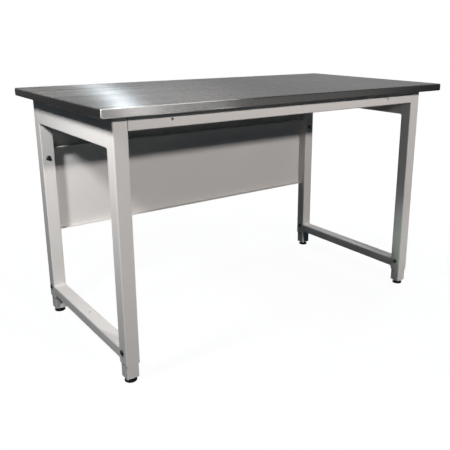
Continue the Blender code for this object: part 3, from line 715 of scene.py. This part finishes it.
def mitre_cutters(low, high):
    """Four thin boxes that run in from the corners of the underside at 45 degrees."""
    vertices, faces = [], []
    for x, y, way in ((low.x, low.y, (1, 1)), (high.x, low.y, (-1, 1)), (high.x, high.y, (-1, -1)),
                      (low.x, high.y, (1, -1))):
        inward = Vector((*way, 0))
        aside = Vector((-way[1], way[0], 0)).normalized() * MITRE_GAP / 2
        near, far = (Vector((x, y, low.z)) + inward * reach for reach in (MITRE_START, SKIN_HEM + SKIN_SHEET))
        faces += [[len(vertices) + corner for corner in face] for face in BOX_FACES]
        for lift in (-SKIN_SHEET, SKIN_SHEET * MITRE_DEPTH):
            up = Vector((0, 0, lift))
            vertices += [near - aside + up, far - aside + up, far + aside + up, near + aside + up]
    cutter = new_piece("hem_mitres", vertices, faces)
    shape = bmesh.new()
    shape.from_mesh(cutter.data)
    bmesh.ops.recalc_face_normals(shape, faces=shape.faces)
    shape.to_mesh(cutter.data)
    shape.free()
    return cutter


def cut_out(piece, cutter):
    """Takes a cutter's shape out of what the piece's modifiers make."""
    add_modifier(piece, "cut", "BOOLEAN", object=cutter, solver="EXACT")
    settle(piece)
    bpy.data.objects.remove(cutter)


low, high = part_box("worktop_skin")
outside = (ring_corners(low, high, 0, high.z) + ring_corners(low, high, 0, low.z)
           + ring_corners(low, high, SKIN_HEM, low.z))
sheet_faces = [(0, 1, 2, 3)]
for corner in range(4):
    after = (corner + 1) % 4
    sheet_faces.append((corner, corner + 4, after + 4, after))
    sheet_faces.append((corner + 4, corner + 8, after + 8, after + 4))
skin = new_piece("worktop_steel", outside, sheet_faces)
add_modifier(skin, "folds", "BEVEL", width=SKIN_FOLD, segments=SKIN_FOLD_STEPS, limit_method="ANGLE")
add_wall(skin, SKIN_SHEET)
cut_out(skin, mitre_cutters(low, high))
print("worktop skin:", len(skin.data.polygons), "faces")

# %% Brush direction
FACING = 0.7                       # least part of a normal along an axis that it faces

grain = skin.data.uv_layers.new(name="grain")
for face in skin.data.polygons:
    at_end = abs(face.normal.x) > FACING
    level = abs(face.normal.z) > FACING
    for corner in face.loop_indices:
        x, y, z = skin.data.vertices[skin.data.loops[corner].vertex_index].co
        grain.data[corner].uv = (y if level else z, y if at_end else x)
fit_piece(shade(skin), "frame", "stainless", ["worktop_skin"])

# %% Core board
PILOT_HOLE = 0.0051
PILOT_SIDES = 12
EASED_STEPS = 4
SCREW_STEMS = ("cleat_front", "cleat_rear", "stringer")
TOP_SCREWS = [f"top_screw_{stem}_{side}" for side in SIDES for stem in SCREW_STEMS]


def pilot_cutters(screws):
    """A prism round each screw, for the hole that it was driven into."""
    prisms = bmesh.new()
    for screw in screws:
        bmesh.ops.create_cone(prisms, cap_ends=True, segments=PILOT_SIDES, radius1=PILOT_HOLE / 2,
                              radius2=PILOT_HOLE / 2, depth=size(screw).z,
                              matrix=Matrix.Translation(middle(screw)))
    cutter = new_piece("pilot_holes")
    prisms.to_mesh(cutter.data)
    prisms.free()
    return cutter


low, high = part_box("worktop_core")
corners = ring_corners(low, high, 0, low.z) + ring_corners(low, high, 0, high.z)
board = new_piece("core_board", corners, BOX_FACES)
add_modifier(board, "eased_edges", "BEVEL", width=SKIN_FOLD - SKIN_SHEET, segments=EASED_STEPS)
cut_out(board, pilot_cutters(TOP_SCREWS))
fit_piece(shade(board), "frame", "board", ["worktop_core"])

# %% [markdown]
# ## Bolts and screws
# Hexagon flange bolts hold the rail and the stringer. Low domed bolts with a hexagon socket hold the
# panel and lock the legs, and small domed screws hold the worktop down. A bolt repeats, so each kind is a
# tree that builds one bolt from its sizes and sets a copy on every point, turned to the axis stored
# there. The seat is at 0 and the shank runs along +Z.

# %% Bolt helpers
HEXAGON = 6
SHANK_SIDES = 20
ROUND_SIDES = 32
CHAMFER_SLOPE = math.tan(math.radians(60))
FACE_SHARE = math.cos(math.pi / 6)  # of a hexagon's corner radius, to its faces
OVERLAP = 0.0002                   # between shapes that a union joins
SHANK_SIZES = ", Shank Diameter, Shank Length, Tip Length, Tip Share"


def raised(geometry, height):
    return moved(geometry, point(z=height))


def hexagon_shapes(across_corners, height):
    """A hexagonal prism, and the cone that turns its corners off at the low end."""
    corner_radius = times(across_corners, 0.5)
    face_radius = times(corner_radius, FACE_SHARE)
    wide = compute("MULTIPLY_ADD", height, CHAMFER_SLOPE, face_radius)
    return cylinder(HEXAGON, corner_radius, height), cone(ROUND_SIDES, face_radius, wide, height)


def shank_shapes(given):
    """A round shank and its chamfered or pointed tip. The shank is pushed a little into the head."""
    radius = times(given["Shank Diameter"], 0.5)
    straight = compute("SUBTRACT", given["Shank Length"], given["Tip Length"])
    length = compute("ADD", straight, OVERLAP)
    half_way = compute("SUBTRACT", times(length, 0.5), OVERLAP)
    tip = cone(SHANK_SIDES, radius, times(radius, given["Tip Share"]), given["Tip Length"])
    return raised(cylinder(SHANK_SIDES, radius, length), half_way), raised(tip, straight)


def set_on_seats(bolt, given):
    tree = tree_of(bolt)
    axis = make(tree, "GeometryNodeInputNamedAttribute", {"Name": "axis"}, data_type="FLOAT_VECTOR")
    turn = make(tree, "FunctionNodeAlignRotationToVector", {"Vector": axis}, axis="Z")
    copies = shaped("InstanceOnPoints", Points=given["Seats"], Instance=bolt, Rotation=turn)
    end_tree(copies, given["Material"])


# %% Bolt trees
DOME_RINGS = 20

flange_tree, given, flange_keys = start_tree(
    "flange_bolt", Geometry="Seats", Material="Material",
    Float="Across Corners, Head Height, Flange Diameter, Flange Height" + SHANK_SIZES)
reach = compute("ADD", given["Head Height"], given["Flange Height"])
prism, taper = hexagon_shapes(given["Across Corners"], reach)
head = combine("INTERSECT", raised(prism, times(reach, -0.5)), raised(taper, times(reach, -1.0)))
flange = cone(ROUND_SIDES, times(given["Across Corners"], 0.5), times(given["Flange Diameter"], 0.5),
              given["Flange Height"])
flange = raised(flange, times(given["Flange Height"], -1.0))
set_on_seats(combine("UNION", head, flange, *shank_shapes(given)), given)

dome_tree, given, dome_keys = start_tree(
    "domed_bolt", Geometry="Seats", Material="Material",
    Float="Head Diameter, Head Height, Socket Across Corners, Socket Depth" + SHANK_SIZES)
head_radius = times(given["Head Diameter"], 0.5)
ball = make(dome_tree, "GeometryNodeMeshUVSphere", {
    "Segments": ROUND_SIDES, "Rings": DOME_RINGS, "Radius": 1.0})
ball = moved(ball, scale=point(head_radius, head_radius, given["Head Height"]))
outer_half = cylinder(ROUND_SIDES, given["Head Diameter"], given["Head Height"])
dome = combine("INTERSECT", ball, raised(outer_half, times(given["Head Height"], -0.5)))
key = cylinder(HEXAGON, times(given["Socket Across Corners"], 0.5), times(given["Socket Depth"], 2.0))
key = raised(key, times(given["Head Height"], -1.0))
set_on_seats(cut(combine("UNION", dome, *shank_shapes(given)), key), given)
print("bolt trees:", len(flange_tree.nodes), "and", len(dome_tree.nodes), "nodes")

# %% Set the bolts
FLANGE_BOLT = {"Across Corners": 0.015, "Head Height": 0.0055, "Flange Diameter": 0.018,
               "Flange Height": 0.0016, "Shank Diameter": 0.008, "Tip Length": 0.0008, "Tip Share": 0.8}
DOMED_BOLT = {"Head Diameter": 0.019, "Head Height": 0.0065, "Socket Across Corners": 0.0069,
              "Socket Depth": 0.0038, "Shank Diameter": 0.008, "Tip Length": 0.0004, "Tip Share": 0.9}
TOP_SCREW = {"Head Diameter": 0.009, "Head Height": 0.0028, "Socket Across Corners": 0.0034,
             "Socket Depth": 0.0016, "Shank Diameter": 0.0045, "Tip Length": 0.004, "Tip Share": 0.05}


def new_seats(name, seats, axes):
    """A piece of loose points, each with the axis of the bolt that it seats."""
    piece = new_piece(name, seats)
    stored = piece.data.attributes.new("axis", "FLOAT_VECTOR", "POINT")
    stored.data.foreach_set("vector", [part for axis in axes for part in axis])
    return piece


def set_bolts(name, nodes, axes, tree, keys, sizes, slot):
    """One piece for a set of like bolts. Each seat and shank length is read from the bolt's solid."""
    head = sizes["Head Height"] + sizes.get("Flange Height", 0.0)
    seats = []
    for node, axis in zip(nodes, axes):
        axis = Vector(axis)
        along = [axis.dot(corner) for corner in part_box(node)]
        seat = min(along) + head
        seats.append(middle(node) + axis * (seat - axis.dot(middle(node))))
        length = max(along) - seat
    piece = grow(new_seats(name, seats, axes), tree, keys, slot, {**sizes, "Shank Length": length})
    fit_piece(piece, "frame", slot, nodes)


def on_sides(*stems):
    return [f"{stem}_{side}" for stem in stems for side in SIDES]


FLANGED = (flange_tree, flange_keys, FLANGE_BOLT, "zinc")
DOMED = (dome_tree, dome_keys, DOMED_BOLT, "black_steel")
SCREWED = (dome_tree, dome_keys, TOP_SCREW, "zinc")
OUTWARD = [(-1, 0, 0), (1, 0, 0)]
UPWARD = [(0, 0, 1)] * 2
set_bolts("rail_bolts_to_posts", on_sides("rail_bolt_post"), OUTWARD, *FLANGED)
set_bolts("rail_bolts_to_rail", on_sides("rail_bolt_rail"), [(0, -1, 0)] * 2, *FLANGED)
set_bolts("stringer_bolts", on_sides("stringer_bolt_lower", "stringer_bolt_upper"), OUTWARD * 2, *FLANGED)
set_bolts("panel_bolts", on_sides("panel_bolt"), [(0, 1, 0)] * 2, *DOMED)
set_bolts("lock_bolts", on_sides("lock_bolt_front", "lock_bolt_rear"), [(1, 0, 0)] * 4, *DOMED)
set_bolts("cleat_screws", on_sides("top_screw_cleat_front", "top_screw_cleat_rear"), UPWARD * 2, *SCREWED)
set_bolts("stringer_screws", on_sides("top_screw_stringer"), UPWARD, *SCREWED)

# %% [markdown]
# ## Panel nuts and levelling feet
# A nut is a hexagon whose corners are turned off at both ends, so it is the overlap of a prism and two
# cones. The foot is a black pad on a threaded stud with a hexagon for the spanner. The thread is a sheet
# of points rolled round the axis, whose radius rises and falls once per pitch along a helix, so the stud
# stays one closed surface.

# %% Panel nuts
nut_tree, given, nut_keys = start_tree(
    "hexagon_nut", Geometry="Seats", Float="Across Corners, Height, Bore", Material="Material")
prism, taper = hexagon_shapes(given["Across Corners"], given["Height"])
rising = raised(taper, times(given["Height"], -0.5))
falling = moved(taper, point(z=times(given["Height"], 0.5)), (math.pi, 0, 0))
bore = cylinder(SHANK_SIDES, times(given["Bore"], 0.5), times(given["Height"], 2.0))
set_on_seats(cut(combine("INTERSECT", prism, rising, falling), bore), given)

nut_nodes = on_sides("panel_nut")
nuts = new_seats("panel_nuts", [middle(node) for node in nut_nodes], [(0, 1, 0)] * len(nut_nodes))
grow(nuts, nut_tree, nut_keys, "black_steel", {
    "Across Corners": FLANGE_BOLT["Across Corners"], "Height": size(nut_nodes[0]).y,
    "Bore": FLANGE_BOLT["Shank Diameter"]})
fit_piece(nuts, "frame", "black_steel", nut_nodes)

# %% Threaded stud tree
THREAD_SIDES = 32

stud_tree, given, stud_keys = start_tree(
    "threaded_stud", Float="Diameter, Thread Depth, Pitch, Length, Collar Height, Collar Across Corners",
    Int="Rings", Vector="Place, Collar Place", Material="Material")
core_radius = compute("SUBTRACT", times(given["Diameter"], 0.5), given["Thread Depth"])
flat = shaped("MeshGrid", Size_X=2 * math.pi, Size_Y=given["Length"], Vertices_X=THREAD_SIDES + 1,
              Vertices_Y=given["Rings"])
spot = spot_in(stud_tree)
turns = compute("DIVIDE", spot["X"], 2 * math.pi)
pitches = compute("DIVIDE", spot["Y"], given["Pitch"])
ridge = times(compute("PINGPONG", compute("SUBTRACT", pitches, turns), 0.5), 2.0)
half_length = times(given["Length"], 0.5)
from_end = compute("SUBTRACT", half_length, compute("ABSOLUTE", spot["Y"]))
height = compute("MINIMUM", times(ridge, given["Thread Depth"]), from_end)
thread_radius = compute("ADD", core_radius, height)
around = point(times(thread_radius, compute("COSINE", spot["X"])),
               times(thread_radius, compute("SINE", spot["X"])), spot["Y"])
rolled = shaped("SetPosition", Geometry=flat, Position=around)
cap = shaped("MeshCircle", Vertices=THREAD_SIDES, Radius=core_radius, fill_type="NGON")
low_cap = shaped("FlipFaces", Mesh=raised(cap, times(half_length, -1.0)))
rod = shaped("MergeByDistance", Geometry=join(rolled, raised(cap, half_length), low_cap),
             Distance=MERGE_DISTANCE)
collar = cylinder(HEXAGON, times(given["Collar Across Corners"], 0.5), given["Collar Height"])
stud = combine("UNION", moved(rod, given["Place"]), moved(collar, given["Collar Place"]))
end_tree(stud, given["Material"])
print("threaded_stud:", len(stud_tree.nodes), "nodes")

# %% Threaded studs
STUD_DIAMETER = 0.012
THREAD_PITCH = 0.00175
THREAD_DEPTH = 0.0009
THREAD_STEPS = 8                   # along each pitch
COLLAR_HEIGHT = 0.0064
COLLAR_ACROSS_CORNERS = 0.020
SEAT_GAP = 0.0003


def add_stud(leg):
    centre, length = middle(f"foot_stud_{leg}"), size(f"foot_stud_{leg}").z
    collar_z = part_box(f"foot_pad_{leg}")[1].z + SEAT_GAP + COLLAR_HEIGHT / 2
    stud = grow(new_piece(f"threaded_stud_{leg}"), stud_tree, stud_keys, "zinc", {
        "Diameter": STUD_DIAMETER, "Thread Depth": THREAD_DEPTH, "Pitch": THREAD_PITCH, "Length": length,
        "Rings": round(length / THREAD_PITCH * THREAD_STEPS) + 1, "Collar Height": COLLAR_HEIGHT,
        "Collar Across Corners": COLLAR_ACROSS_CORNERS, "Collar Place": (centre.x, centre.y, collar_z),
        "Place": tuple(centre)})
    fit_piece(stud, f"stud_{leg}", "zinc", [f"foot_stud_{leg}"])


# %% Pads on their studs
PAD_STEPS = 64
PAD_ROUND = 0.0012
PAD_CROWN = 0.013                  # radius of the raised middle
PAD_SHOULDER = 0.0050              # height of the rim
PAD_RECESS = 0.0008                # depth of the hollow underneath
RECESS_OUTER, RECESS_INNER = 0.62, 0.58  # its edge, as shares of the rim's radius


def turn_on_lathe(name, profile, x, y, steps):
    """A closed turned piece, from (radius, height) points that run from the axis, round it, to the axis."""
    vertices, faces, rings = [], [], []
    for radius, height in profile:
        count = 1 if radius == 0 else steps
        rings.append((len(vertices), count))
        for step in range(count):
            angle = 2 * math.pi * step / steps
            vertices.append((x + radius * math.cos(angle), y + radius * math.sin(angle), height))
    for (first, count), (second, next_count) in zip(rings, rings[1:]):
        for step in range(steps):
            after = (step + 1) % steps
            corners = [first + step % count, second + step % next_count, second + after % next_count,
                       first + after % count]
            faces.append(list(dict.fromkeys(corners)))
    return new_piece(name, vertices, faces)


def arc(x, y, start, end, steps=5):
    """Points on a round edge of a profile, between two angles in degrees."""
    angles = [math.radians(start + (end - start) * step / steps) for step in range(steps + 1)]
    return [(x + PAD_ROUND * math.cos(a), y + PAD_ROUND * math.sin(a)) for a in angles]


def add_pad(leg):
    """A pad with a raised middle that holds the stud, a rounded rim and a hollow underside."""
    centre, top = middle(f"foot_stud_{leg}"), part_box(f"foot_pad_{leg}")[1].z
    rim, socket = size(f"foot_pad_{leg}").x / 2, STUD_DIAMETER / 2 + SEAT_GAP
    socket_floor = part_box(f"foot_stud_{leg}")[0].z - SEAT_GAP
    profile = [(0, socket_floor), (socket, socket_floor), (socket, top - PAD_ROUND / 2),
               (socket + PAD_ROUND / 2, top)]
    profile += arc(PAD_CROWN - PAD_ROUND, top - PAD_ROUND, 90, 25)
    profile += arc(rim - PAD_ROUND, PAD_SHOULDER - PAD_ROUND / 2, 65, 0)
    profile += arc(rim - PAD_ROUND, PAD_ROUND, 0, -90)
    profile += [(rim * RECESS_OUTER, 0), (rim * RECESS_INNER, PAD_RECESS), (0, PAD_RECESS)]
    pad = turn_on_lathe(f"foot_disc_{leg}", profile, centre.x, centre.y, PAD_STEPS)
    fit_piece(shade(pad), f"pad_{leg}", "black_plastic", [f"foot_pad_{leg}"])


for leg in LEGS:
    add_stud(leg)
    add_pad(leg)

# %% [markdown]
# ## Solids that stay
# The backer sheet under the worktop and the threaded plates in the legs are flat plates, and their solids
# are already right. They only need their finishes.

# %% Finish the remaining solids
for row in frame["record"]["subparts"]:
    solid = frame["nodes"][row["node"]]
    if not solid.hide_render:
        coat(solid, row["material_slot"])
        print("kept", row["node"])

# %% [markdown]
# ## The studio
# A lamp in front lights the front faces, and a nearer one at the upper left lights the left end, bright
# at the top and fading towards the floor. A small lamp above and behind is drawn out by the brushed steel
# into a pale band. Two more light the back and the right end, and a narrow beam reaches under the worktop
# to the right leg. The paint has little gloss, so the lamps that only have to light it are kept out of
# reflections.
#
# The floor is clear to the camera, in front of a white world, and keeps the shadow. It would be simpler
# to make it a white plate, but that would hide the legs when they are let down below it. A closed screen
# round the set, which only reflections see, gives the steel something darker than a white room to mirror.
# Its greys change with the direction, and a card overhead draws a bright line along the folds.

# %% Lamps
BEAM_SPREAD = math.radians(6)
# Name, place, aim, width and height, watts, colour, and whether reflections show it
LAMPS = [
    ("front_lamp", (0.30, -3.6, 1.97), (0.0, 0.0, 0.6), (0.30, 0.15), 91.0, (1.0, 0.945, 0.92), False),
    ("left_lamp", (-1.45, -0.355, 1.564), (-0.6, 0.0, 0.6), (0.18, 0.18), 22.0, (1.0, 0.99, 0.99), True),
    ("band_lamp", (0.195, 0.65, 2.5), (-0.5, 0.0, 0.9), (0.09, 0.12), 5.7, (0.80, 0.91, 1.0), True),
    ("back_lamp", (0.9, 3.4, 0.80), (0.0, 0.0, 0.5), (0.6, 0.5), 48.0, (0.99, 0.985, 0.98), False),
    ("right_lamp", (3.4, 0.6, 1.30), (0.0, 0.0, 0.5), (0.6, 0.5), 56.0, (0.99, 0.985, 0.98), False),
    ("side_beam", (-1.5, -0.62, 1.50), (0.653, -0.365, 0.15), (0.02, 0.35), 0.08, (1.0, 1.0, 1.0), True),
]

for name, place, aim, (width, height), watts, colour, mirrored in LAMPS:
    light = bpy.data.lights.new(name, "AREA")
    light.shape = "RECTANGLE"
    light.size, light.size_y = width, height
    light.energy = watts
    light.color = colour
    lamp = bpy.data.objects.new(name, light)
    lamp.location = place
    lamp.rotation_euler = (Vector(aim) - Vector(place)).to_track_quat("-Z", "Y").to_euler()
    lamp.visible_camera = False
    lamp.visible_glossy = mirrored
    bpy.context.scene.collection.objects.link(lamp)
bpy.data.lights["side_beam"].spread = BEAM_SPREAD
print("lamps:", [lamp[0] for lamp in LAMPS])

# %% Floor
FLOOR_REACH = 12.0
FADE_START, FADE_END = 1.0, 2.4    # from the middle of the floor
PALE_WHITE = 0.95
FLOOR_MATTE = (0.05, 0.055, 0.06, 1)


def bare_material(name):
    """A material whose tree is still empty."""
    material = bpy.data.materials.new(name)
    material.use_nodes = True
    material.node_tree.nodes.clear()
    return material, material.node_tree


def show_surface(tree, shader):
    add_node(tree, "ShaderNodeOutputMaterial", {"Surface": shader})


def paths_to_white(tree):
    """1 for rays that should see the white studio: from the camera, or by way of a reflection or glass."""
    rays = add_node(tree, "ShaderNodeLightPath").outputs
    return compute("MAXIMUM", compute("MAXIMUM", rays["Is Camera Ray"], rays["Is Glossy Ray"]),
                   rays["Is Transmission Ray"])


far_corner = Vector((FLOOR_REACH, FLOOR_REACH, 0.0))
floor = new_piece("studio_floor", ring_corners(-far_corner, far_corner, 0, 0.0), [(0, 1, 2, 3)])
pale, tree = bare_material("pale_floor")
place = add_node(tree, "ShaderNodeTexCoord").outputs["Object"]
distance = add_node(tree, "ShaderNodeVectorMath", {0: place}, operation="LENGTH").outputs["Value"]
fade = make(tree, "ShaderNodeMapRange", {
    "Value": distance, "From Min": FADE_START, "From Max": FADE_END, "To Min": PALE_WHITE, "To Max": 1.0})
glow = make(tree, "ShaderNodeEmission", {"Strength": times(fade, paths_to_white(tree))})
clear = make(tree, "ShaderNodeBsdfTransparent", {"Color": fade})
from_camera = add_node(tree, "ShaderNodeLightPath").outputs["Is Camera Ray"]
pane = make(tree, "ShaderNodeMixShader", {0: from_camera, 1: glow, 2: clear})
matte = make(tree, "ShaderNodeBsdfDiffuse", {"Color": FLOOR_MATTE})
show_surface(tree, make(tree, "ShaderNodeAddShader", {0: pane, 1: matte}))
floor.data.materials.append(pale)
floor.visible_shadow = False
print("floor:", 2 * FLOOR_REACH, "m square")

# %% Reflection screen
SCREEN_RADIUS = 9.0
SCREEN_STEP = 0.5                  # degrees
SCREEN_HEIGHTS = (0.002, 1.1, 4.2)
# Degrees to the right of +Y, with the greys of the floor, the lower half, the upper half and the roof
SCREEN_GREYS = [
    (-85, 0.10, 0.40, 0.40, 0.30), (-40, 0.10, 0.40, 0.40, 0.30), (-34, 0.04, 0.08, 0.06, 0.02),
    (-20, 0.02, 0.12, 0.10, 0.02), (-16, 0.10, 0.40, 0.40, 0.30), (5, 0.14, 0.30, 0.40, 0.30),
    (10, 0.14, 0.06, 0.05, 0.30), (18, 0.07, 0.06, 0.04, 0.30), (27, 0.06, 0.28, 0.78, 0.12),
    (50, 0.06, 0.38, 0.80, 0.22), (63, 0.05, 0.30, 0.60, 0.22), (110, 0.05, 0.40, 0.55, 0.20),
    (118, 0.02, 0.02, 0.04, 0.00), (124, 0.02, 0.02, 0.04, 0.00), (133, 0.15, 0.16, 0.22, 0.00),
    (140, 0.16, 0.16, 0.18, 0.00), (157, 0.26, 0.19, 0.20, 0.05), (157.5, 3.20, 4.00, 4.00, 0.36),
    (159.5, 3.20, 4.00, 4.00, 0.36), (160, 0.00, 0.00, 0.00, 0.00), (170, 0.00, 0.00, 0.00, 0.00),
    (174, 1.00, 0.80, 0.80, 0.36), (205, 1.00, 1.40, 1.40, 0.36), (215, 0.05, 1.40, 1.40, 0.36),
    (260, 0.05, 1.40, 1.40, 0.36), (275, 0.10, 0.40, 0.40, 0.30),
]


def grey_at(angle, band):
    for (first, *before), (second, *after) in zip(SCREEN_GREYS, SCREEN_GREYS[1:]):
        if first <= angle <= second:
            share = (angle - first) / (second - first)
            return before[band] + share * (after[band] - before[band])


def on_screen(angle, radius, z):
    return radius * math.sin(math.radians(angle)), radius * math.cos(math.radians(angle)), z


def show_in_reflections(piece, material):
    """Gives a piece of the set its glow, and hides it from all but reflections."""
    piece.data.materials.append(material)
    piece.visible_camera = piece.visible_diffuse = piece.visible_shadow = False


def add_screen():
    """A closed drum of narrow strips: floor, lower half, upper half and roof. Each strip has its grey."""
    low, half, high = SCREEN_HEIGHTS
    outline = [(0.0, low), (SCREEN_RADIUS, low), (SCREEN_RADIUS, half), (SCREEN_RADIUS, high), (0.0, high)]
    first, last = SCREEN_GREYS[0][0], SCREEN_GREYS[-1][0]
    vertices, faces, greys = [], [], []
    for band, (near, far) in enumerate(zip(outline, outline[1:])):
        for step in range(round((last - first) / SCREEN_STEP)):
            start = first + step * SCREEN_STEP
            end = start + SCREEN_STEP
            corners = [on_screen(start, *near), on_screen(end, *near), on_screen(end, *far),
                       on_screen(start, *far)]
            corners = list(dict.fromkeys(corners))
            faces.append(range(len(vertices), len(vertices) + len(corners)))
            vertices += corners
            greys.append(grey_at(start + SCREEN_STEP / 2, band))
    screen = new_piece("reflection_screen", vertices, faces)
    screen.data.attributes.new("grey", "FLOAT", "FACE").data.foreach_set("value", greys)
    finish, tree = bare_material("screen_greys")
    grey = add_node(tree, "ShaderNodeAttribute", attribute_name="grey").outputs["Fac"]
    show_surface(tree, make(tree, "ShaderNodeEmission", {"Strength": grey}))
    show_in_reflections(screen, finish)
    return screen


print("screen:", len(add_screen().data.polygons), "faces")

# %% Overhead card
CARD_LOW = Vector((-2.5, -2.5, 4.1))
CARD_HIGH = Vector((2.0, 0.1, 4.1))
CARD_GLOW = 2.6

card = new_piece("overhead_card", ring_corners(CARD_LOW, CARD_HIGH, 0, CARD_LOW.z), [(0, 1, 2, 3)])
finish, tree = bare_material("overhead_card")
show_surface(tree, make(tree, "ShaderNodeEmission", {"Strength": CARD_GLOW}))
show_in_reflections(card, finish)
print("card:", CARD_HIGH - CARD_LOW)

# %% World
AMBIENT = 0.036
AMBIENT_COLOUR = (0.12, 0.64, 1.0, 1)
WHITE = (1, 1, 1, 1)

world = bpy.data.worlds.new("studio")
bpy.context.scene.world = world
world.use_nodes = True
tree = world.node_tree
tree.nodes.clear()
ambient = make(tree, "ShaderNodeBackground", {"Color": AMBIENT_COLOUR, "Strength": AMBIENT})
white = make(tree, "ShaderNodeBackground", {"Color": WHITE, "Strength": 1.0})
mixed = make(tree, "ShaderNodeMixShader", {0: paths_to_white(tree), 1: ambient, 2: white})
add_node(tree, "ShaderNodeOutputWorld", {"Surface": mixed})
bpy.context.scene.view_settings.view_transform = "Standard"
print("world:", len(tree.nodes), "nodes")
